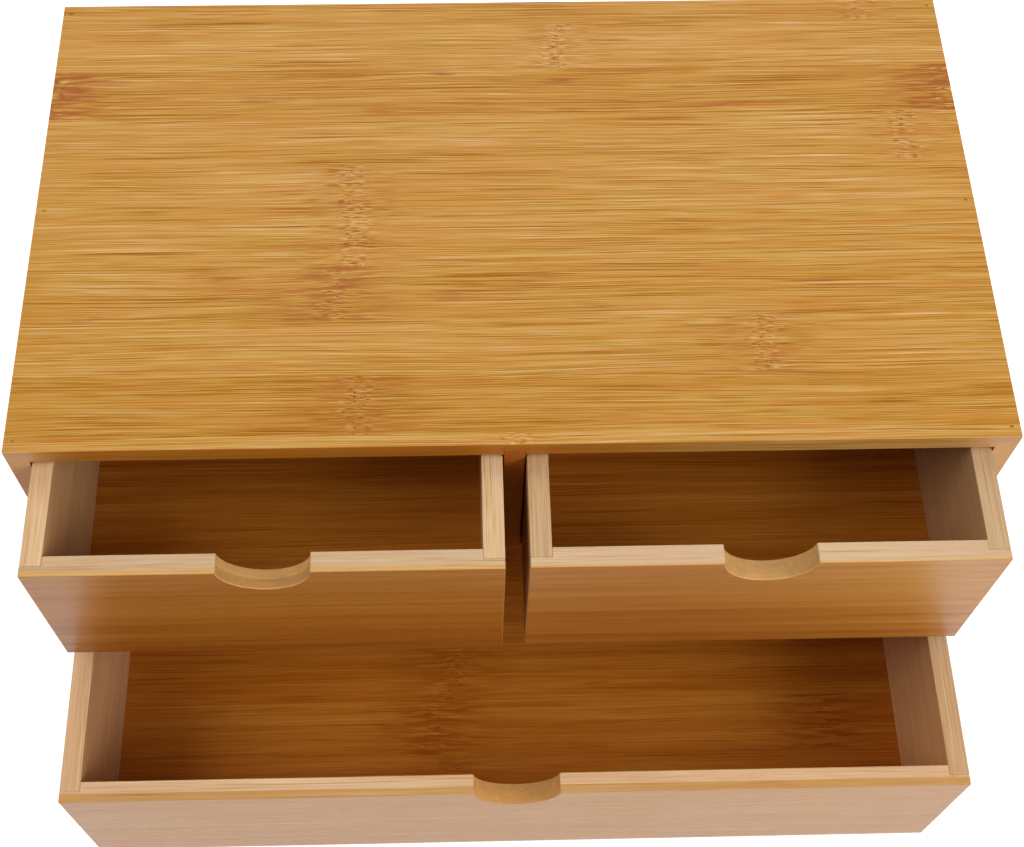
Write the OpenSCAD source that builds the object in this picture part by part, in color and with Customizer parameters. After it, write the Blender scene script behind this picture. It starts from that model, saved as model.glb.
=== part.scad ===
// Desktop mini chest of drawers in laminated bamboo.
// A glued and pinned case holds two small drawers side by side above one wide drawer.
// Every drawer is a rabbeted box with a floor held in grooves, and its front has a finger notch.
// The front faces -Y and the top faces +Z. The origin is the middle of the case's underside.

/* [Case] */
// Width of the case, side face to side face
case_w = 330; // [280:5:400]
// Depth of the case, front edges to back
case_d = 188; // [160:2:240]
// Thickness of the top, bottom, sides, shelf and divider
board_t = 7; // [6:0.5:9]
// How deep one case board is let into another
joint_depth = 3.2; // [2:0.2:4]
// Thickness of the back panel
back_t = 5; // [3:0.5:6]
// How far the back panel's edges are let into the boards round it
back_lap = 2; // [1:0.25:2.5]

/* [Drawers] */
// Height of the two small drawers
small_drawer_h = 71; // [50:1:100]
// Height of the wide drawer
wide_drawer_h = 71; // [50:1:110]
// Thickness of the drawers' fronts, sides and backs
drawer_t = 7; // [6:0.5:9]
// Depth of the rabbets in the fronts and backs that take the drawer sides
drawer_joint_depth = 3.4; // [2:0.2:4]
// Thickness of the drawer floors
floor_t = 4; // [3:0.5:5]
// Height of a floor's underside above its drawer's lower edge
floor_up = 7; // [5:0.5:10]
// Depth of the grooves that hold the floors
groove_depth = 3; // [2:0.2:4]

/* [Finger notches] */
// Width of a notch along the drawer's top edge
notch_w = 30; // [24:1:40]
// Depth of a notch below the drawer's top edge
notch_depth = 14; // [10:0.5:18]

/* [Clearances] */
// Gap on each side of a drawer
side_gap = 0.5; // [0.3:0.1:1]
// Gap above a drawer
top_gap = 2; // [1:0.25:3]
// Gap under a drawer
run_gap = 0.3; // [0.2:0.1:0.5]
// Gap between a closed drawer and the back panel
rear_gap = 1; // [0.5:0.25:3]
// Play between a floor's edges and the bottoms of its grooves
floor_play = 0.2; // [0.1:0.1:0.5]

/* [Brads] */
// Diameter of a brad
brad_d = 1.2; // [1:0.1:1.6]
// Length of a brad
brad_l = 18; // [12:1:25]
// Length of a brad's point
brad_point = 1.5; // [1:0.25:3]
// Distance from the case's side face to the line of brads
brad_inset = 3; // [2:0.25:3.5]
// Distance from the front or back edges to the nearest brad
brad_end = 3.8; // [3:0.2:10]
// Number of brads along each corner of the case
brads_per_corner = 3; // [2:1:5]
// Depth of a brad's head below the surface
brad_sink = 0.4; // [0.2:0.1:0.8]
// Gap round a brad in its hole
brad_play = 0.02; // [0.01:0.01:0.05]

/* [Drawer positions] */
// How far the left drawer is pulled out
left_open = 39.2; // [0:0.1:140]
// How far the right drawer is pulled out
right_open = 39; // [0:0.1:140]
// How far the wide drawer is pulled out
wide_open = 89.5; // [0:0.1:140]

/* [Hidden] */

LEFT = -1;
RIGHT = 1;
BOTTOM = -1;
TOP = 1;
CUT = 1; // how far a cut runs past the face that it opens
MEET = 0.01; // how far one cut runs into another that it meets inside a board

golden_bamboo = "#CB9651";
case_bamboo = "#B98C5E";
front_bamboo = "#BE8F5E";
rim_bamboo = "#DDBE90";
floor_bamboo = "#A2672C";
brad_steel = "#8C8478";

// Heights, from the underside up
small_bay_h = run_gap + small_drawer_h + top_gap;
wide_bay_h = run_gap + wide_drawer_h + top_gap;
wide_drawer_z = board_t + run_gap;
shelf_z = board_t + wide_bay_h;
small_drawer_z = shelf_z + board_t + run_gap;
case_h = shelf_z + board_t + small_bay_h + board_t;

// Depths, from the front edges back
front_y = -case_d / 2;
back_y = case_d / 2;
bay_back_y = back_y - back_t;
drawer_l = bay_back_y - rear_gap - front_y;

// Widths
side_x = case_w / 2 - board_t;
wide_drawer_w = 2 * side_x - 2 * side_gap;
small_drawer_w = side_x - board_t / 2 - 2 * side_gap;
small_drawer_x = board_t / 2 + side_gap + small_drawer_w / 2;

// A notch is an arc through three points: its two corners and its lowest point
notch_r = (pow(notch_w / 2, 2) + pow(notch_depth, 2)) / (2 * notch_depth);

brad_x = case_w / 2 - brad_inset;
brad_front_y = front_y + brad_end;
brad_pitch = (case_d - 2 * brad_end) / (brads_per_corner - 1);

$fn = 48;

// ---- Shared shapes ----

// A straight board between two opposite corners
module block(low, high) {
    translate(low)
        cube(high - low);
}

// ---- Case boards before they are jointed ----
// Each joint is cut with the board that seats in it, so the two always fit. A cut is given
// how far it runs past the open ends of the board, and how far past the board's rear end.

module cap_blank(end) {
    z = end == TOP ? case_h - board_t : 0;
    block([-case_w / 2, front_y, z], [case_w / 2, back_y, z + board_t]);
}

module side_blank(side, past = 0) {
    let_in = board_t - joint_depth;
    near = side * side_x;
    far = side * (case_w / 2 + past);
    block([min(near, far), front_y - past, let_in], [max(near, far), back_y + past, case_h - let_in]);
}

module shelf_blank(past = 0, past_rear = 0) {
    end_x = side_x + joint_depth;
    block([-end_x, front_y - past, shelf_z], [end_x, bay_back_y + past_rear, shelf_z + board_t]);
}

module divider_blank(past = 0, past_rear = 0) {
    foot_z = shelf_z + board_t - joint_depth;
    head_z = case_h - board_t + joint_depth;
    block([-board_t / 2, front_y - past, foot_z], [board_t / 2, bay_back_y + past_rear, head_z]);
}

module back_blank(past = 0) {
    edge_x = side_x + back_lap;
    edge_z = board_t - back_lap;
    block([-edge_x, bay_back_y, edge_z], [edge_x, back_y + past, case_h - edge_z]);
}

// ---- Brads ----

// Puts its children at every brad, with +Z pointing from the head into the wood
module at_each_brad() {
    for (x = [-brad_x, brad_x], i = [0 : brads_per_corner - 1]) {
        y = brad_front_y + i * brad_pitch;
        translate([x, y, 0])
            children();
        translate([x, y, case_h])
            mirror([0, 0, 1])
                children();
    }
}

// A round shank with a cone for its point, from the head down to the tip
module brad(r = brad_d / 2, head_z = brad_sink) {
    tip_z = brad_sink + brad_l;
    rotate_extrude()
        polygon([[0, head_z], [r, head_z], [r, tip_z - brad_point], [0, tip_z]]);
}

module brad_holes() {
    at_each_brad()
        brad(brad_d / 2 + brad_play, -CUT);
}

// ---- Case ----

module top_panel() {
    color(golden_bamboo)
        difference() {
            cap_blank(TOP);
            side_blank(LEFT, CUT);
            side_blank(RIGHT, CUT);
            divider_blank(CUT, MEET);
            back_blank(CUT);
            brad_holes();
        }
}

module bottom_panel() {
    color(case_bamboo)
        difference() {
            cap_blank(BOTTOM);
            side_blank(LEFT, CUT);
            side_blank(RIGHT, CUT);
            back_blank(CUT);
            brad_holes();
        }
}

module side_panel(side) {
    color(case_bamboo)
        difference() {
            side_blank(side);
            shelf_blank(CUT, MEET);
            back_blank(CUT);
            brad_holes();
        }
}

module left_side_panel() {
    side_panel(LEFT);
}

module right_side_panel() {
    side_panel(RIGHT);
}

module middle_shelf() {
    color(case_bamboo)
        difference() {
            shelf_blank();
            divider_blank(CUT, CUT);
        }
}

module divider() {
    color(case_bamboo)
        divider_blank();
}

module back_panel() {
    color(case_bamboo)
        back_blank();
}

module case_brads() {
    color(brad_steel)
        at_each_brad()
            brad();
}

// ---- Drawer boards ----
// A drawer of width w and height h has its front face at y = 0 and its lower edge at z = 0.

module end_blank(w, h, y) {
    block([-w / 2, y, 0], [w / 2, y + drawer_t, h]);
}

// The lip is what the rabbet leaves of a front or back, in front of or behind the side
module drawer_side_blank(w, h, side, past = 0) {
    lip = drawer_t - drawer_joint_depth;
    near = side * (w / 2 - drawer_t);
    far = side * (w / 2 + past);
    block([min(near, far), lip, -past], [max(near, far), drawer_l - lip, h + past]);
}

module floor_blank(w, play = 0) {
    edge = drawer_t - groove_depth + play;
    block([edge - w / 2, edge, floor_up], [w / 2 - edge, drawer_l - edge, floor_up + floor_t]);
}

// The groove along a drawer side, which runs out at both ends of the board
module side_groove(w) {
    edge = drawer_t - groove_depth;
    block([edge - w / 2, -CUT, floor_up], [w / 2 - edge, drawer_l + CUT, floor_up + floor_t]);
}

module finger_notch(h) {
    translate([0, -CUT, h + notch_r - notch_depth])
        rotate([-90, 0, 0])
            cylinder(h = drawer_t + 2 * CUT, r = notch_r, $fn = 96);
}

// A front or back board, rabbeted at both ends and grooved for the floor
module jointed_end(w, h, y) {
    difference() {
        end_blank(w, h, y);
        drawer_side_blank(w, h, LEFT, CUT);
        drawer_side_blank(w, h, RIGHT, CUT);
        floor_blank(w);
    }
}

module drawer_front(w, h) {
    color(front_bamboo)
        difference() {
            jointed_end(w, h, 0);
            finger_notch(h);
        }
}

module drawer_back(w, h) {
    color(rim_bamboo)
        jointed_end(w, h, drawer_l - drawer_t);
}

module drawer_side(w, h, side) {
    color(rim_bamboo)
        difference() {
            drawer_side_blank(w, h, side);
            side_groove(w);
        }
}

module drawer_floor(w) {
    color(floor_bamboo)
        floor_blank(w, floor_play);
}

// ---- Places of the drawers ----

module at_left_drawer() {
    translate([-small_drawer_x, front_y - left_open, small_drawer_z])
        children();
}

module at_right_drawer() {
    translate([small_drawer_x, front_y - right_open, small_drawer_z])
        children();
}

module at_wide_drawer() {
    translate([0, front_y - wide_open, wide_drawer_z])
        children();
}

// ---- Left drawer ----

module left_drawer_front() {
    at_left_drawer() drawer_front(small_drawer_w, small_drawer_h);
}

module left_drawer_left_side() {
    at_left_drawer() drawer_side(small_drawer_w, small_drawer_h, LEFT);
}

module left_drawer_right_side() {
    at_left_drawer() drawer_side(small_drawer_w, small_drawer_h, RIGHT);
}

module left_drawer_back() {
    at_left_drawer() drawer_back(small_drawer_w, small_drawer_h);
}

module left_drawer_floor() {
    at_left_drawer() drawer_floor(small_drawer_w);
}

// ---- Right drawer ----

module right_drawer_front() {
    at_right_drawer() drawer_front(small_drawer_w, small_drawer_h);
}

module right_drawer_left_side() {
    at_right_drawer() drawer_side(small_drawer_w, small_drawer_h, LEFT);
}

module right_drawer_right_side() {
    at_right_drawer() drawer_side(small_drawer_w, small_drawer_h, RIGHT);
}

module right_drawer_back() {
    at_right_drawer() drawer_back(small_drawer_w, small_drawer_h);
}

module right_drawer_floor() {
    at_right_drawer() drawer_floor(small_drawer_w);
}

// ---- Wide drawer ----

module wide_drawer_front() {
    at_wide_drawer() drawer_front(wide_drawer_w, wide_drawer_h);
}

module wide_drawer_left_side() {
    at_wide_drawer() drawer_side(wide_drawer_w, wide_drawer_h, LEFT);
}

module wide_drawer_right_side() {
    at_wide_drawer() drawer_side(wide_drawer_w, wide_drawer_h, RIGHT);
}

module wide_drawer_back() {
    at_wide_drawer() drawer_back(wide_drawer_w, wide_drawer_h);
}

module wide_drawer_floor() {
    at_wide_drawer() drawer_floor(wide_drawer_w);
}

// ---- The parts that are drawn ----

top_panel();
bottom_panel();
left_side_panel();
right_side_panel();
middle_shelf();
divider();
back_panel();
case_brads();

left_drawer_front();
left_drawer_left_side();
left_drawer_right_side();
left_drawer_back();
left_drawer_floor();

right_drawer_front();
right_drawer_left_side();
right_drawer_right_side();
right_drawer_back();
right_drawer_floor();

wide_drawer_front();
wide_drawer_left_side();
wide_drawer_right_side();
wide_drawer_back();
wide_drawer_floor();
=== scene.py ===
"""Looks for a small bamboo chest of drawers: laminated bamboo boards, steel brads, studio and camera."""

from copy import copy
from math import radians

import bpy
from mathutils import Matrix, Vector


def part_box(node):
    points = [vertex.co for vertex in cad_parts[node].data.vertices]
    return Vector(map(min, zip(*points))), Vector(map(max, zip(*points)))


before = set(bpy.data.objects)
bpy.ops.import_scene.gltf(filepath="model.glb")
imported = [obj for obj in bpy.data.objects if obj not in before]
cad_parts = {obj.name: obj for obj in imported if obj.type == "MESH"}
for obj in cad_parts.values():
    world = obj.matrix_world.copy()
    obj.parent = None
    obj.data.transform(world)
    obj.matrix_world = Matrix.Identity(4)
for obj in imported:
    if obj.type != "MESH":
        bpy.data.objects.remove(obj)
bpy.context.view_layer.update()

MM = 0.001
PHOTO_W = 1024
PHOTO_H = 847

# ---- Camera, from a fit to the photograph's edges ----
FOCAL_PX = 1593.6
CENTRE_PX = (492.55, 376.56)
SENSOR_MM = 36.0
CAMERA_AT = (-0.01684, -0.32452, 0.62787)
CAMERA_PITCH = 60.913
CAMERA_YAW = 2.251
CAMERA_ROLL = 1.120

# ---- Light: each lamp's place and size in metres, and its power in watts ----
SKY_LIGHT = 0.12
LAMPS = {"left_lamp": ((-1.15, -0.3, 1.3), 1.0, 11.0),
         "right_lamp": ((1.15, -0.75, 0.9), 1.0, 15.5),
         "back_lamp": ((0.0, 1.25, 1.25), 1.4, 14.5)}
GROUND_SIZE = 16.0
GROUND_DROP = 0.2 * MM
GROUND_COLOUR = (0.55, 0.55, 0.55, 1.0)
GROUND_GLOW = 0.85

# ---- The Mix node's inputs A and B and its result, for numbers and for colours ----
MIX_NUMBER_SOCKETS = (2, 3, 0)
MIX_COLOUR_SOCKETS = (6, 7, 2)

# ---- Edges ----
ARRIS = 0.3 * MM
ARRIS_SEGMENTS = 2
ARRIS_ANGLE = radians(40)
FLAT_ANGLE = radians(1)
WELD = 0.005 * MM

# ---- Bamboo, lengths in millimetres ----
STRIP_W = 21.6
INTERNODE = 326.0
TONE_SPREAD = 0.16
PLAIN_STAIN = 0.5
STRIP_SHIFT = 4000.0
SEED_SHIFT = 37.0
MIDDLE_SHADE = 0.53
HUE_SHARE = 0.5
DOT_SHARE = 0.8
BUMP_HEIGHT = 0.03 * MM
COARSE_BUMP = 0.35
FINE_BUMP = 0.12
MATT_IOR = 1.2
SATIN_IOR = 1.4

# Streaks in the grain: their length along it, their width across it, how much fine detail they have and
# where in the noise they start
STREAKS = {"wander": (90, 5.0, 0, 50), "fine wander": (90, 0.8, 0, 70), "drift": (90, 12.0, 0, 0),
           "kink": (9, 3.0, 0, 0), "fibres": (60, 0.36, 0, 0), "short fibres": (9, 0.34, 0, 200),
           "dashes": (3.2, 0.46, 0, 0), "twins": (70, 0.75, 0, 400), "hair": (14, 0.24, 0, 900),
           "bands": (180, 5.0, 2, 1300), "clear": (50, 3.0, 1, 3300), "patch": (40, 4.0, 1, 4100),
           "hue": (60, 2.4, 2, 1700), "stain": (16, 1.2, 2, 2500)}

# How far streaks move or shade what they act on
SPREADS = {"wander": 8.0, "fine wander": 5.0, "drift": 3.0, "kink": 1.3, "twins": 0.8, "hair": 1.0,
           "bands": 0.6}

# Where each mask is 0 and where it is 1, by the distance from a knuckle
KNUCKLE_MASKS = {"knuckle": (6.0, 3.5), "near": (26.0, 3.0), "kink": (12.0, 2.0), "stain": (34.0, 2.0),
                 "dots": (3.0, 2.0)}

# The same by the height of streaks' noise
STREAK_MASKS = {"dark": (0.48, 0.30), "light": (0.54, 0.70), "clear": (0.32, 0.68), "patch": (0.58, 0.74),
                "hue": (0.34, 0.68), "stain": (0.36, 0.66)}

# How strongly lines are drawn where wood is plain, clear and at a knuckle
CONTRASTS = (0.5, 1.4, 1.5)
LIGHT_LINE = 0.32
DARK_LINE = 0.52
KNUCKLE_LIFT = 0.04
GLUE_EDGE = (0.3, 0.0)
GLUE_LINE = 0.15
PATCH_STAIN = 0.7

# Vascular dots at a knuckle: their spacing along and across, their edge, the chance of one, their depth
DOT_CELL = (3.4, 1.8)
DOT_EDGE = (0.16, 0.08)
DOT_CHANCE = (0.62, 0.68)
DOT_DEPTH = (0.5, 0.3)


def srgb(red, green, blue):
    """A colour written as 0 to 255 screen values, as the linear RGBA that a shader takes."""
    def linear(value):
        share = value / 255
        return share / 12.92 if share <= 0.04045 else ((share + 0.055) / 1.055) ** 2.4
    return (linear(red), linear(green), linear(blue), 1.0)


class Graph:
    """Adds shader nodes to a tree. A value given to a node is a number or another node's output."""

    def __init__(self, tree):
        self.tree = tree

    def node(self, kind, inputs=None, **settings):
        made = self.tree.nodes.new(kind)
        for name, value in settings.items():
            setattr(made, name, value)
        for name, value in (inputs or {}).items():
            self.plug(made.inputs[name], value)
        return made

    def plug(self, socket, value):
        if isinstance(value, bpy.types.NodeSocket):
            self.tree.links.new(value, socket)
        else:
            socket.default_value = value

    def math(self, operation, *values, clamp=False):
        made = self.node("ShaderNodeMath", operation=operation, use_clamp=clamp)
        for socket, value in zip(made.inputs, values):
            self.plug(socket, value)
        return made.outputs[0]

    def add(self, first, *others):
        for other in others:
            first = self.math("ADD", first, other)
        return first

    def times(self, first, *others):
        for other in others:
            first = self.math("MULTIPLY", first, other)
        return first

    def vector(self, x, y, z):
        return self.node("ShaderNodeCombineXYZ", {"X": x, "Y": y, "Z": z}).outputs[0]

    def noise(self, vector, detail=0.0):
        """Smooth noise, about 0.5 on average, with bumps about one unit apart."""
        inputs = {"Vector": vector, "Scale": 1.0, "Detail": detail, "Roughness": 0.5}
        return self.node("ShaderNodeTexNoise", inputs).outputs["Fac"]

    def hash(self, value):
        """Three random numbers from 0 to 1 for each whole number."""
        made = self.node("ShaderNodeTexWhiteNoise", {"W": value}, noise_dimensions="1D")
        parts = self.node("ShaderNodeSeparateColor", {"Color": made.outputs["Color"]})
        return parts.outputs

    def step(self, value, start, end):
        """0 at start, 1 at end, and smooth between them."""
        inputs = {"Value": value, "From Min": start, "From Max": end}
        made = self.node("ShaderNodeMapRange", inputs, interpolation_type="SMOOTHSTEP")
        return made.outputs["Result"]

    def mix(self, data_type, sockets, share, first, second):
        made = self.node("ShaderNodeMix", data_type=data_type)
        socket_a, socket_b, result = sockets
        self.plug(made.inputs["Factor"], share)
        self.plug(made.inputs[socket_a], first)
        self.plug(made.inputs[socket_b], second)
        return made.outputs[result]

    def blend(self, share, first, second):
        """Mixes two colours."""
        return self.mix("RGBA", MIX_COLOUR_SOCKETS, share, first, second)

    def lerp(self, share, first, second):
        """Mixes two numbers."""
        return self.mix("FLOAT", MIX_NUMBER_SOCKETS, share, first, second)


# ---- Grain ----

class Grain:
    """Draws the grain of laminated bamboo in one node group, from a place in a board.

    Along, Across and Deep are the place in millimetres, Shift moves it in the noise, and Knuckle and
    Strip edge are the distances from the nearest knuckle and from the strip's edge.
    """

    inputs = ("Along", "Across", "Deep", "Shift", "Knuckle", "Strip edge")
    outputs = ("Lines", "Bands", "Hue", "Stain", "Dot", "Height")

    def __init__(self):
        self.tree = bpy.data.node_groups.new("bamboo_grain", "ShaderNodeTree")
        for name in self.inputs:
            self.tree.interface.new_socket(name, in_out="INPUT", socket_type="NodeSocketFloat")
        for name in self.outputs:
            self.tree.interface.new_socket(name, in_out="OUTPUT", socket_type="NodeSocketFloat")
        self.g = Graph(self.tree)
        self.given = self.g.node("NodeGroupInput").outputs
        self.shifted = self.g.add(self.given["Along"], self.given["Shift"])
        self.find_knuckle()
        self.bend_fibres()
        self.patch = self.streak_mask("patch")
        lines, height = self.draw_lines()
        made = {"Lines": lines, "Bands": self.spread("bands"), "Hue": self.streak_mask("hue"),
                "Stain": self.draw_stain(), "Dot": self.draw_dots(), "Height": height}
        self.g.node("NodeGroupOutput", made)

    def streaks(self, name, side=None):
        """Noise in streaks along the grain. side is the distance across it, if not the given one."""
        g = self.g
        length, width, detail, start = STREAKS[name]
        side = self.given["Across"] if side is None else side
        place = g.vector(g.math("DIVIDE", g.add(self.shifted, start), length),
                         g.math("DIVIDE", side, width),
                         g.math("DIVIDE", self.given["Deep"], width))
        return g.noise(place, detail)

    def spread(self, name, side=None):
        """Streaks as a number between about minus and plus half of their spread."""
        g = self.g
        return g.times(g.math("SUBTRACT", self.streaks(name, side), 0.5), SPREADS[name])

    def streak_mask(self, name, side=None):
        return self.g.step(self.streaks(name, side), *STREAK_MASKS[name])

    def knuckle_mask(self, name):
        return self.g.step(self.from_knuckle, *KNUCKLE_MASKS[name])

    def find_knuckle(self):
        """A knuckle's line wanders from fibre to fibre."""
        g = self.g
        wander = g.add(self.spread("wander"), self.spread("fine wander"))
        self.from_knuckle = g.math("ABSOLUTE", g.add(self.given["Knuckle"], wander))

    def bend_fibres(self):
        """Fibres drift slowly, and bend sharply at a knuckle."""
        g = self.g
        kink = g.times(self.spread("kink"), self.knuckle_mask("kink"))
        self.bent = g.add(self.given["Across"], self.spread("drift"), kink)

    def draw_lines(self):
        """Light and dark lines, which get short near a knuckle, and the height that they bump."""
        g = self.g
        knuckle = self.knuckle_mask("knuckle")
        fibres = g.lerp(self.knuckle_mask("near"), self.streaks("fibres", self.bent),
                        self.streaks("short fibres", self.bent))
        fibres = g.lerp(knuckle, fibres, self.streaks("dashes", self.bent))
        plain, clear, at_knuckle = CONTRASTS
        contrast = g.lerp(knuckle, g.lerp(self.streak_mask("clear"), plain, clear), at_knuckle)
        dark = g.times(g.step(fibres, *STREAK_MASKS["dark"]), g.add(contrast, self.patch))
        light = g.times(g.step(fibres, *STREAK_MASKS["light"]), contrast)
        value = g.math("SUBTRACT", g.times(light, LIGHT_LINE), g.times(dark, DARK_LINE))
        value = g.add(value, self.spread("twins", self.bent), self.spread("hair", self.bent),
                      g.times(knuckle, KNUCKLE_LIFT))
        glue = g.times(g.step(self.given["Strip edge"], *GLUE_EDGE), GLUE_LINE)
        return g.math("SUBTRACT", value, glue), g.math("SUBTRACT", light, dark)

    def draw_stain(self):
        """Brown stain round a knuckle, and a little in patches."""
        g = self.g
        places = g.math("MAXIMUM", self.knuckle_mask("stain"), g.times(self.patch, PATCH_STAIN))
        return g.times(self.streak_mask("stain", self.bent), places)

    def draw_dots(self):
        """The cut ends of fibres, in the outer wood at a knuckle."""
        g = self.g
        along, across = DOT_CELL
        cell = g.vector(g.math("DIVIDE", self.shifted, along), g.math("DIVIDE", self.bent, across), 0.0)
        spots = g.node("ShaderNodeTexVoronoi", {"Vector": cell, "Scale": 1.0}, voronoi_dimensions="2D")
        chance = g.node("ShaderNodeSeparateColor", {"Color": spots.outputs["Color"]}).outputs[0]
        return g.times(g.step(spots.outputs["Distance"], *DOT_EDGE), self.knuckle_mask("dots"),
                       g.step(chance, *DOT_CHANCE), g.step(self.given["Deep"], *DOT_DEPTH))


GRAIN = Grain().tree


# ---- Colours ----

class Tints:
    """The colours of one kind of bamboo, from its darkest lines to its lightest.

    lines and bands are how strongly its fine lines and its broad bands show, and rough is the
    roughness of its lacquer in dark and light wood.
    """

    def __init__(self, shades, warm, stain, lines, bands, rough=(0.40, 0.24)):
        self.shades = [srgb(*shade) for shade in shades]
        self.warm = srgb(*warm)
        self.stain = srgb(*stain)
        self.lines = lines
        self.bands = bands
        self.rough = rough

    def times(self, red, green, blue):
        """The same bamboo with its linear red, green and blue multiplied."""
        def scaled(colour):
            return (colour[0] * red, colour[1] * green, colour[2] * blue, 1.0)
        made = copy(self)
        made.shades = [scaled(shade) for shade in self.shades]
        made.warm = scaled(self.warm)
        made.stain = scaled(self.stain)
        return made

    def gain(self, value):
        return self.times(value, value, value)


class Layer:
    """Tints that show only within limits: each a coordinate, where it starts and where it is full."""

    def __init__(self, tints, *limits):
        self.tints = tints
        self.limits = limits


GOLDEN = Tints([(156, 90, 2), (181, 123, 24), (203, 151, 64), (214, 166, 91), (233, 189, 130)],
               (208, 140, 62), (172, 98, 36), 0.76, 1.0)
# FACE and its copies, the small fronts' brown, are darker than WIDE_FACE, the wide front's: painted shade
# on the small fronts and painted light on the wide one.
FACE = Tints([(146, 70, 4), (172, 94, 18), (194, 118, 34), (206, 136, 50), (220, 156, 76)],
             (190, 106, 34), (166, 82, 18), 0.2, 1.4)
WIDE_FACE = Tints([(158, 84, 10), (184, 110, 26), (206, 137, 42), (218, 153, 60), (230, 173, 86)],
                  (204, 126, 42), (178, 94, 24), 0.12, 0.6).times(1.03, 1.07, 0.85)
FLOOR = Tints([(150, 72, 4), (178, 98, 20), (202, 124, 36), (214, 142, 52), (226, 164, 80)],
              (198, 112, 36), (166, 82, 18), 0.4, 1.7)
PALE = Tints([(178, 130, 84), (204, 162, 114), (218, 181, 134), (228, 195, 150), (240, 214, 176)],
             (220, 174, 136), (198, 144, 92), 0.45, 0.8)
WALL = Tints([(160, 112, 66), (184, 138, 90), (198, 154, 106), (208, 166, 118), (222, 184, 140)],
             (196, 146, 106), (170, 120, 76), 0.14, 1.0)
LAMINA = Tints([(182, 124, 50), (202, 148, 76), (216, 166, 96), (226, 180, 114), (238, 200, 144)],
               (216, 158, 90), (190, 128, 60), 0.4, 0.6)
CUT = Tints([(160, 104, 40), (184, 130, 62), (202, 152, 84), (214, 168, 104), (234, 196, 142)],
            (196, 138, 76), (176, 116, 56), 0.2, 0.5, (0.8, 0.7))
TAN = Tints([(190, 130, 80), (210, 152, 98), (222, 166, 111), (230, 176, 120), (240, 190, 135)],
            (220, 158, 106), (196, 134, 84), 0.12, 0.4)
EDGE_FACE = FACE.times(1.02, 1.10, 1.35)
# The divider's front edge is a darker brown: partly its end grain, partly painted shade in the gap between
# the drawers.
DIVIDER_FACE = FACE.times(0.92, 0.78, 0.9)
# The right front's face is a paler, bluer copy of FACE, and lighter still towards its right end: painted
# light.
RIGHT_FACE = FACE.times(1.08, 1.2, 1.7)
RIGHT_FACE.rough = (0.44, 0.34)
RIGHT_FACE_LIT_END = RIGHT_FACE.times(1.22, 1.42, 1.5)
# FLOOR darkened for a floor's two ends, next to the walls: painted shade.
FLOOR_SHADED_END = FLOOR.times(0.84, 0.8, 0.84)
# A lighter copy of CUT on the notch's arris at the front face: a painted highlight.
CUT_ARRIS_HIGHLIGHT = CUT.times(1.25, 1.2, 1.2)
DOT_BROWN = srgb(100, 52, 12)
BRAD_BRIGHT = srgb(204, 158, 92)
BRAD_STAINED = srgb(136, 96, 50)

# Steel: the noise's bumps per millimetre and detail, where it is stained, how rough and how metallic
STEEL_SCALE = 4 / MM
STEEL_DETAIL = 3.0
STEEL_STAIN = (0.35, 0.65)
STEEL_ROUGH = (0.3, 0.6)
STEEL_METALLIC = 0.7


# ---- Bamboo material ----

def board_coordinates(g, axes, origin):
    """Distances in millimetres along the grain, across it and through the board from its show face."""
    place = g.node("ShaderNodeTexCoord").outputs["Object"]
    parts = g.node("ShaderNodeSeparateXYZ", {"Vector": place}).outputs
    made = []
    for axis, start in zip(axes, origin):
        offset = g.math("SUBTRACT", parts["XYZ".index(axis)], start)
        made.append(g.math("DIVIDE", offset, MM))
    return made


def colour_ramp(g, value, colours, positions, interpolation):
    ramp = g.node("ShaderNodeValToRGB", {"Fac": value})
    ramp.color_ramp.interpolation = interpolation
    stops = ramp.color_ramp.elements
    stops.remove(stops[0])
    for index, (colour, position) in enumerate(zip(colours, positions)):
        stop = stops[0] if index == 0 else stops.new(position)
        stop.position = position
        stop.color = colour
    return ramp.outputs


def strip_list(g, number, strips):
    """The knuckles, tone and stain of the strip with this number, counted from 0.

    A ramp keeps the list, and its colours hold numbers from 0 to 1.
    """
    colours = []
    for knuckle, tone, stain, *second in strips:
        other = second[0] if second else knuckle
        colours.append((knuckle / INTERNODE + 0.5, tone + 0.5, stain, other / INTERNODE + 0.5))
    positions = [index / len(strips) for index in range(len(strips))]
    middle = g.math("DIVIDE", g.add(number, 0.5), len(strips))
    ramp = colour_ramp(g, middle, colours, positions, "CONSTANT")
    parts = g.node("ShaderNodeSeparateColor", {"Color": ramp["Color"]}).outputs
    knuckles = [g.times(g.math("SUBTRACT", value, 0.5), INTERNODE) for value in (parts[0], ramp["Alpha"])]
    return knuckles, g.math("SUBTRACT", parts[1], 0.5), parts[2]


def from_nearest(g, along, knuckles):
    """The distance along the grain from the nearest knuckle, which comes again after each internode."""
    gaps = [g.math("WRAP", g.math("SUBTRACT", along, knuckle), INTERNODE / 2, -INTERNODE / 2)
            for knuckle in knuckles]
    nearest = gaps[0]
    for gap in gaps[1:]:
        farther = g.math("GREATER_THAN", g.math("ABSOLUTE", nearest), g.math("ABSOLUTE", gap))
        nearest = g.lerp(farther, nearest, gap)
    return nearest


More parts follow.
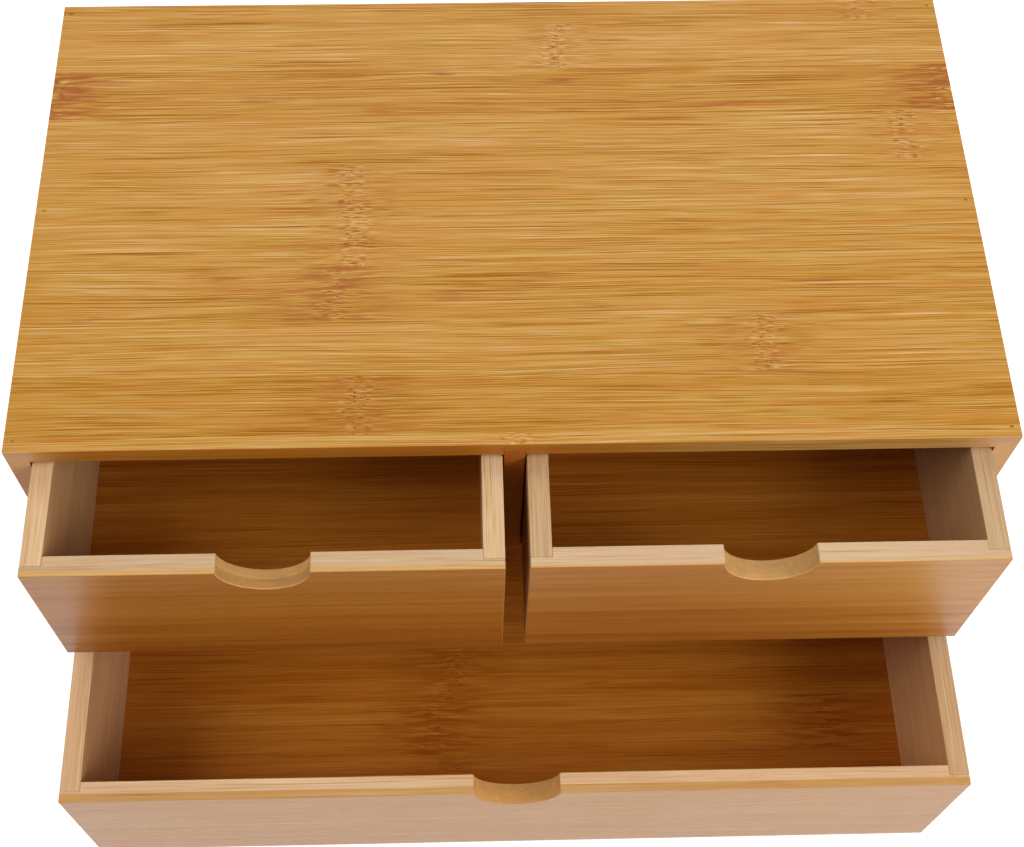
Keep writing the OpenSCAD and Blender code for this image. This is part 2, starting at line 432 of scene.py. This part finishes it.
def place_strips(g, along, across, seed, strip_start, strips):
    """The grain group's Shift, Knuckle and Strip edge, and the tone and stain of each strip."""
    widths = g.math("DIVIDE", g.math("SUBTRACT", across, strip_start), STRIP_W)
    strip = g.math("FLOOR", widths)
    share = g.math("FRACT", widths)
    edge = g.times(g.math("MINIMUM", share, g.math("SUBTRACT", 1.0, share)), STRIP_W)
    chance = g.hash(g.add(strip, seed))
    if strips:
        # The list starts with the part of a strip before strip_start
        knuckles, tone, stain = strip_list(g, g.add(strip, 1.0), strips)
    else:
        knuckles = [g.times(chance[0], INTERNODE)]
        tone = g.times(g.math("SUBTRACT", chance[2], 0.5), TONE_SPREAD)
        stain = PLAIN_STAIN
    shift = g.add(g.times(chance[1], STRIP_SHIFT), seed * SEED_SHIFT)
    placed = {"Shift": shift, "Knuckle": from_nearest(g, along, knuckles), "Strip edge": edge}
    return placed, tone, stain


def painted(g, tints, masks, tone, stained):
    """The colour and the roughness that tints have in this grain."""
    lines = g.times(masks["Lines"], tints.lines)
    bands = g.times(masks["Bands"], tints.bands)
    value = g.add(g.add(lines, bands), g.add(tone, MIDDLE_SHADE))
    last = len(tints.shades) - 1
    positions = [index / last for index in range(len(tints.shades))]
    colour = colour_ramp(g, value, tints.shades, positions, "LINEAR")["Color"]
    colour = g.blend(g.times(masks["Hue"], HUE_SHARE), colour, tints.warm)
    colour = g.blend(stained, colour, tints.stain)
    colour = g.blend(g.times(masks["Dot"], DOT_SHARE), colour, DOT_BROWN)
    return colour, g.lerp(g.add(masks["Lines"], 0.5), *tints.rough)


def bamboo(name, axes, origin, seed, strip_start, layers, ior=MATT_IOR, strips=None, bump=COARSE_BUMP):
    """Lacquered bamboo board. axes are the grain, cross and depth directions, such as XYZ.

    layers are painted one over the other, and strips lists each strip's knuckles, tone and stain.
    """
    material = bpy.data.materials.new(name)
    material.use_nodes = True
    g = Graph(material.node_tree)
    shader = g.tree.nodes["Principled BSDF"]

    along, across, deep = board_coordinates(g, axes, origin)
    placed, tone, stain = place_strips(g, along, across, seed, strip_start, strips)
    grain = g.node("ShaderNodeGroup", node_tree=GRAIN)
    for socket, value in {"Along": along, "Across": across, "Deep": deep, **placed}.items():
        g.plug(grain.inputs[socket], value)
    masks = grain.outputs
    stained = g.math("MULTIPLY", masks["Stain"], stain, clamp=True)

    coordinates = {"along": along, "across": across, "deep": deep}
    colour, rough = painted(g, layers[0].tints, masks, tone, stained)
    for layer in layers[1:]:
        shown = 1.0
        for coordinate, start, full in layer.limits:
            shown = g.times(shown, g.step(coordinates[coordinate], start, full))
        upper_colour, upper_rough = painted(g, layer.tints, masks, tone, stained)
        colour = g.blend(shown, colour, upper_colour)
        rough = g.lerp(shown, rough, upper_rough)
    g.plug(shader.inputs["Base Color"], colour)
    g.plug(shader.inputs["Roughness"], rough)
    shader.inputs["IOR"].default_value = ior
    bumps = g.node("ShaderNodeBump", {"Strength": bump, "Distance": BUMP_HEIGHT, "Height": masks["Height"]})
    g.plug(shader.inputs["Normal"], bumps.outputs["Normal"])
    return material


def brad_steel():
    """Dull steel wire, a little stained."""
    material = bpy.data.materials.new("brad_steel")
    material.use_nodes = True
    g = Graph(material.node_tree)
    shader = g.tree.nodes["Principled BSDF"]
    place = g.node("ShaderNodeTexCoord").outputs["Object"]
    scaled = g.node("ShaderNodeVectorMath", operation="SCALE")
    g.plug(scaled.inputs[0], place)
    g.plug(scaled.inputs["Scale"], STEEL_SCALE)
    patches = g.noise(scaled.outputs[0], STEEL_DETAIL)
    colour = g.blend(g.step(patches, *STEEL_STAIN), BRAD_BRIGHT, BRAD_STAINED)
    g.plug(shader.inputs["Base Color"], colour)
    g.plug(shader.inputs["Roughness"], g.lerp(patches, *STEEL_ROUGH))
    shader.inputs["Metallic"].default_value = STEEL_METALLIC
    return material


# ---- Boards ----

def paint(node, material):
    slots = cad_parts[node].data.materials
    slots.clear()
    slots.append(material)


def soften(node):
    """Joins the split faces of a CAD node and rounds its arrises a little."""
    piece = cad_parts[node]
    weld = piece.modifiers.new("weld", "WELD")
    weld.merge_threshold = WELD
    flat = piece.modifiers.new("flat", "DECIMATE")
    flat.decimate_type = "DISSOLVE"
    flat.angle_limit = FLAT_ANGLE
    arris = piece.modifiers.new("arris", "BEVEL")
    arris.width = ARRIS
    arris.segments = ARRIS_SEGMENTS
    arris.limit_method = "ANGLE"
    arris.angle_limit = ARRIS_ANGLE


# Limits of layers, in millimetres: a coordinate, where the layer starts and where it is full. A drawer
# front's painted skin stops at its arrises. NOTCH_BELOW_RIM, RIM_BELOW_TOP, LAMINA_SOFT and the floor's
# two count from an edge that differs from board to board.
SKIN = ("deep", 0.12, 0.06)
FRONT_EDGE = ("across", 0.35, 0.15)
SIDE_FRONT_EDGE = ("along", 0.35, 0.15)
# Where the top's front edge gets its painted light: tan ends, and a fade from brown to golden towards the
# right
TOP_LEFT_END = ("along", -146, -162)
TOP_RIGHT_END = ("along", 142, 156)
TOP_PAST_LEFT_END = ("along", -162, -136)
TOP_LEFT_HALF = ("along", 110, -10)
# Where the painted light on the right front's face grows towards its right end
RIGHT_FRONT_END = ("along", 45, 150)
NOTCH_OUTER_HALF = ("deep", 3.7, 3.3)
NOTCH_ARRIS = ("deep", 0.5, 0.4)
NOTCH_BELOW_RIM = (0.2, 0.5)
LAMINA_SOFT = 0.2
RIM_BELOW_TOP = (0.35, 0.15)
SIDE_INSIDES = (("deep", 6.0, 6.5), ("deep", 1.0, 0.5))
# How far from each end a floor's painted shade starts and where it is full
FLOOR_DARKENS = 50
FLOOR_DARK = 8
NOTCH_OUTER_WARMTH = (1.0, 0.97, 0.9)

# Each listed strip's knuckle in millimetres from the middle, its tone, how stained its knuckle is and,
# where the strip has two, its second knuckle
TOP_STRIPS = [(0, 0.14, 0.0), (-52, -0.09, 0.6), (85, 0.04, 0.5), (-60, -0.05, 0.9), (-54, 0.03, 0.3),
              (-54, 0.03, 0.4), (145, 0.03, 0.3), (162, -0.12, 1.3), (20, 0.04, 0.3), (136, -0.04, 0.3)]
SMALL_FLOOR_STRIPS = [(150, 0.02, 0.0), (158, -0.06, 0.0), (145, 0.05, 0.0), (160, 0.0, 0.0),
                      (148, 0.05, 0.0), (155, -0.05, 0.0), (150, 0.04, 0.0), (158, -0.03, 0.0),
                      (152, 0.0, 0.0)]
WIDE_FLOOR_STRIPS = [(-26, 0.02, 0.5), (-24, -0.03, 0.5), (-29, 0.03, 0.9, 124), (-23, -0.02, 0.7),
                     (123, 0.04, 0.5), (125, -0.04, 0.6), (-27, 0.04, 0.5), (-24, -0.03, 0.5),
                     (122, 0.02, 0.5)]
FRONT_STAIN = 0.3
FRONT_TOP_TONE = 0.03
# The small fronts' strips get darker towards the bottom: painted shade.
SMALL_FRONT_TONES = (-0.24, -0.12, 0.02, 0.05)
WIDE_FRONT_TONES = (0.0, -0.03, 0.03, 0.0)

# The seed of each case board, and where its strips start
CASE_SEEDS = {"top_panel": (3, 4.6), "bottom_panel": (20, 7), "middle_shelf": (29, 7),
              "left_side_panel": (50, 9), "right_side_panel": (59, 9), "divider": (68, 9),
              "back_panel": (80, 12)}
# The top's front edge is brown, turning tan at both ends and golden towards the right: the tan ends and the
# fade are painted light.
TOP_LAYERS = [Layer(GOLDEN),
              Layer(TAN, FRONT_EDGE, TOP_LEFT_END),
              Layer(TAN, FRONT_EDGE, TOP_RIGHT_END),
              Layer(FACE, FRONT_EDGE, TOP_PAST_LEFT_END, TOP_LEFT_HALF)]
# The side panels' front edges are TAN made lighter, by a different amount on each side: painted light.
SIDE_EDGES = {"left_side_panel": (TAN.times(1.1, 1.1, 1.05), MATT_IOR),
              "right_side_panel": (TAN.times(1.1, 1.2, 1.15), MATT_IOR),
              "divider": (DIVIDER_FACE, SATIN_IOR)}

# What each of a drawer's boards adds to the drawer's seed, and where its strips start
DRAWER_SEEDS = {"_front": (0, 10), "_left_side": (11, 10), "_right_side": (20, 10), "_back": (31, 8),
                "_floor": (41, 5)}

# Looks of each drawer: its rims' and inner walls' brightness from left to right, which is painted light
# and shade, the brightness of the notch's inner and outer half, the depth of the front's outer lamina,
# the tones of the front's strips, where their knuckles lie unseen, its top strip's knuckle, the floor's
# strips, and the front's gloss and the layers of its face
DRAWERS = {
    "left_drawer": {"seed": 100, "rims": (1.10, 0.88, 1.07), "walls": (0.95, 0.95), "cut": (1.0, 0.80),
                    "lamina": 1.8, "tones": SMALL_FRONT_TONES, "unseen": 60, "knuckle": -23.5,
                    "floor": SMALL_FLOOR_STRIPS, "ior": 1.42, "face": [Layer(EDGE_FACE, SKIN)]},
    "right_drawer": {"seed": 200, "rims": (0.91, 0.94, 0.86), "walls": (0.92, 0.86), "cut": (0.95, 0.95),
                     "lamina": 0.8, "tones": SMALL_FRONT_TONES, "unseen": 160, "knuckle": 141,
                     "floor": SMALL_FLOOR_STRIPS, "ior": 1.60,
                     "face": [Layer(RIGHT_FACE, SKIN), Layer(RIGHT_FACE_LIT_END, SKIN, RIGHT_FRONT_END)]},
    "wide_drawer": {"seed": 300, "rims": (1.16, 1.22, 1.01), "walls": (1.02, 1.32), "cut": (1.1, 1.15),
                    "lamina": 2.8, "tones": WIDE_FRONT_TONES, "unseen": 160, "knuckle": 160,
                    "floor": WIDE_FLOOR_STRIPS, "ior": 1.45, "face": [Layer(WIDE_FACE, SKIN)]},
}


def paint_case():
    low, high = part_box("top_panel")
    seed, start = CASE_SEEDS["top_panel"]
    top = bamboo("top_bamboo", "XYZ", (0, low.y, high.z), seed, start, TOP_LAYERS, strips=TOP_STRIPS)
    paint("top_panel", top)
    for node in ("bottom_panel", "middle_shelf"):
        low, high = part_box(node)
        layers = [Layer(GOLDEN), Layer(EDGE_FACE, FRONT_EDGE)]
        paint(node, bamboo(node + "_bamboo", "XYZ", (0, low.y, high.z), *CASE_SEEDS[node], layers,
                           SATIN_IOR))
    for node, (tints, ior) in SIDE_EDGES.items():
        low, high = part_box(node)
        layers = [Layer(GOLDEN), Layer(tints, SIDE_FRONT_EDGE)]
        paint(node, bamboo(node + "_bamboo", "YZX", (low.y, low.z, low.x), *CASE_SEEDS[node], layers, ior))
    low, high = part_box("back_panel")
    layers = [Layer(GOLDEN)]
    paint("back_panel", bamboo("back_panel_bamboo", "XZY", (0, low.z, high.y), *CASE_SEEDS["back_panel"],
                               layers))
    paint("case_brads", brad_steel())


def paint_part(drawer, looks, part, axes, origin, layers, **more):
    """Paints one of a drawer's boards with its own seed."""
    node = drawer + part
    seed, start = DRAWER_SEEDS[part]
    paint(node, bamboo(node + "_bamboo", axes, origin, looks["seed"] + seed, start, layers, **more))


def paint_front(drawer, looks):
    low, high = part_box(drawer + "_front")
    top = (high.z - low.z) / MM
    rim_end, notch_start = NOTCH_BELOW_RIM
    in_notch = ("across", top - rim_end, top - notch_start)
    lamina = looks["lamina"]
    inner, outer = looks["cut"]
    # The front's rim is PALE made brighter or darker for each drawer: painted light and shade.
    layers = [Layer(PALE.gain(looks["rims"][1])),
              Layer(LAMINA, ("deep", lamina + LAMINA_SOFT, lamina - LAMINA_SOFT)),
              Layer(CUT.gain(inner), in_notch),
              Layer(CUT.times(*(outer * warmth for warmth in NOTCH_OUTER_WARMTH)), in_notch,
                    NOTCH_OUTER_HALF),
              # A painted highlight on the notch's arris
              Layer(CUT_ARRIS_HIGHLIGHT, in_notch, NOTCH_ARRIS),
              *looks["face"]]
    strips = [(looks["unseen"], tone, FRONT_STAIN) for tone in looks["tones"]]
    strips.append((looks["knuckle"], FRONT_TOP_TONE, FRONT_STAIN))
    paint_part(drawer, looks, "_front", "XZY", (0, low.z, low.y), layers, ior=looks["ior"], strips=strips,
               bump=FINE_BUMP)


def paint_sides(drawer, looks):
    """A side's rim has the front's own height, and its wall is brighter or darker only inside: painted
    light and shade.
    """
    low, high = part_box(drawer + "_front")
    top = (high.z - low.z) / MM
    rim_start, rim_full = RIM_BELOW_TOP
    rims = (looks["rims"][0], looks["rims"][2])
    for part, inside, wall, rim in zip(("_left_side", "_right_side"), SIDE_INSIDES, looks["walls"], rims):
        low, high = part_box(drawer + part)
        layers = [Layer(WALL),
                  Layer(WALL.gain(wall), inside),
                  Layer(PALE.gain(rim), ("across", top - rim_start, top - rim_full))]
        paint_part(drawer, looks, part, "YZX", (0, low.z, low.x), layers, bump=FINE_BUMP)


def paint_back(drawer, looks):
    low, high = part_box(drawer + "_back")
    paint_part(drawer, looks, "_back", "XZY", (0, low.z, high.y), [Layer(PALE)])


def paint_floor(drawer, looks):
    """A floor has painted shade near its two ends, where its walls shade it."""
    low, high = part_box(drawer + "_floor")
    end = (high.x - low.x) / 2 / MM
    layers = [Layer(FLOOR),
              Layer(FLOOR_SHADED_END, ("along", FLOOR_DARKENS - end, FLOOR_DARK - end)),
              Layer(FLOOR_SHADED_END, ("along", end - FLOOR_DARKENS, end - FLOOR_DARK))]
    middle = (low.x + high.x) / 2
    paint_part(drawer, looks, "_floor", "XYZ", (middle, low.y, high.z), layers, strips=looks["floor"])


# ---- Studio ----

def shown_share(g):
    """1 for rays that show a surface as it is: from the camera, a reflection or through glass."""
    path = g.node("ShaderNodeLightPath").outputs
    seen = g.math("MAXIMUM", path["Is Camera Ray"], path["Is Glossy Ray"])
    return g.math("MAXIMUM", seen, path["Is Transmission Ray"])


def make_ground():
    """A pale floor that shows as white and keeps a light shadow."""
    bpy.ops.mesh.primitive_plane_add(size=GROUND_SIZE, location=(0, 0, -GROUND_DROP))
    ground = bpy.context.object
    ground.name = "floor"
    material = bpy.data.materials.new("floor_white")
    material.use_nodes = True
    g = Graph(material.node_tree)
    g.tree.nodes.clear()
    paper = g.node("ShaderNodeBsdfDiffuse", {"Color": GROUND_COLOUR}).outputs[0]
    glow = g.node("ShaderNodeEmission", {"Strength": g.times(shown_share(g), GROUND_GLOW)}).outputs[0]
    both = g.node("ShaderNodeAddShader")
    g.plug(both.inputs[0], paper)
    g.plug(both.inputs[1], glow)
    g.node("ShaderNodeOutputMaterial", {"Surface": both.outputs[0]})
    ground.data.materials.append(material)


def make_world():
    """White where it is seen, and softer as a light."""
    world = bpy.data.worlds.new("studio")
    bpy.context.scene.world = world
    world.use_nodes = True
    g = Graph(world.node_tree)
    g.tree.nodes.clear()
    strength = g.lerp(shown_share(g), SKY_LIGHT, 1.0)
    sky = g.node("ShaderNodeBackground", {"Color": (1, 1, 1, 1), "Strength": strength})
    g.node("ShaderNodeOutputWorld", {"Surface": sky.outputs[0]})


def make_lamp(name, place, size, power):
    """A square softbox that faces the middle of the object."""
    data = bpy.data.lights.new(name, "AREA")
    data.shape = "SQUARE"
    data.size = size
    data.energy = power
    lamp = bpy.data.objects.new(name, data)
    lamp.location = place
    lamp.rotation_mode = "QUATERNION"
    lamp.rotation_quaternion = Vector(place).to_track_quat("Z", "Y")
    lamp.visible_camera = False
    bpy.context.scene.collection.objects.link(lamp)


def make_camera():
    """The fitted camera. Its turns take the world to an image with x right, y down and z away."""
    data = bpy.data.cameras.new("camera")
    data.sensor_width = SENSOR_MM
    data.lens = FOCAL_PX / PHOTO_W * SENSOR_MM
    data.shift_x = (PHOTO_W / 2 - CENTRE_PX[0]) / PHOTO_W
    data.shift_y = (CENTRE_PX[1] - PHOTO_H / 2) / PHOTO_W
    camera = bpy.data.objects.new("camera", data)
    bpy.context.scene.collection.objects.link(camera)
    bpy.context.scene.camera = camera
    turn = Matrix.Rotation(radians(CAMERA_ROLL), 3, "Z")
    tilt = Matrix.Rotation(radians(CAMERA_PITCH), 3, "X")
    level = Matrix(((1, 0, 0), (0, 0, -1), (0, 1, 0)))
    pan = Matrix.Rotation(radians(CAMERA_YAW), 3, "Z")
    to_image = turn @ tilt @ level @ pan
    flip = Matrix.Diagonal((1, -1, -1))
    camera.matrix_world = (flip @ to_image).transposed().to_4x4()
    camera.location = CAMERA_AT


bpy.context.scene.view_settings.view_transform = "Standard"
make_camera()
make_world()
for lamp, (place, size, power) in LAMPS.items():
    make_lamp(lamp, place, size, power)
make_ground()

paint_case()
for drawer, looks in DRAWERS.items():
    paint_front(drawer, looks)
    paint_sides(drawer, looks)
    paint_back(drawer, looks)
    paint_floor(drawer, looks)
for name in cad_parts:
    if name != "case_brads":
        soften(name)

bpy.context.view_layer.update()
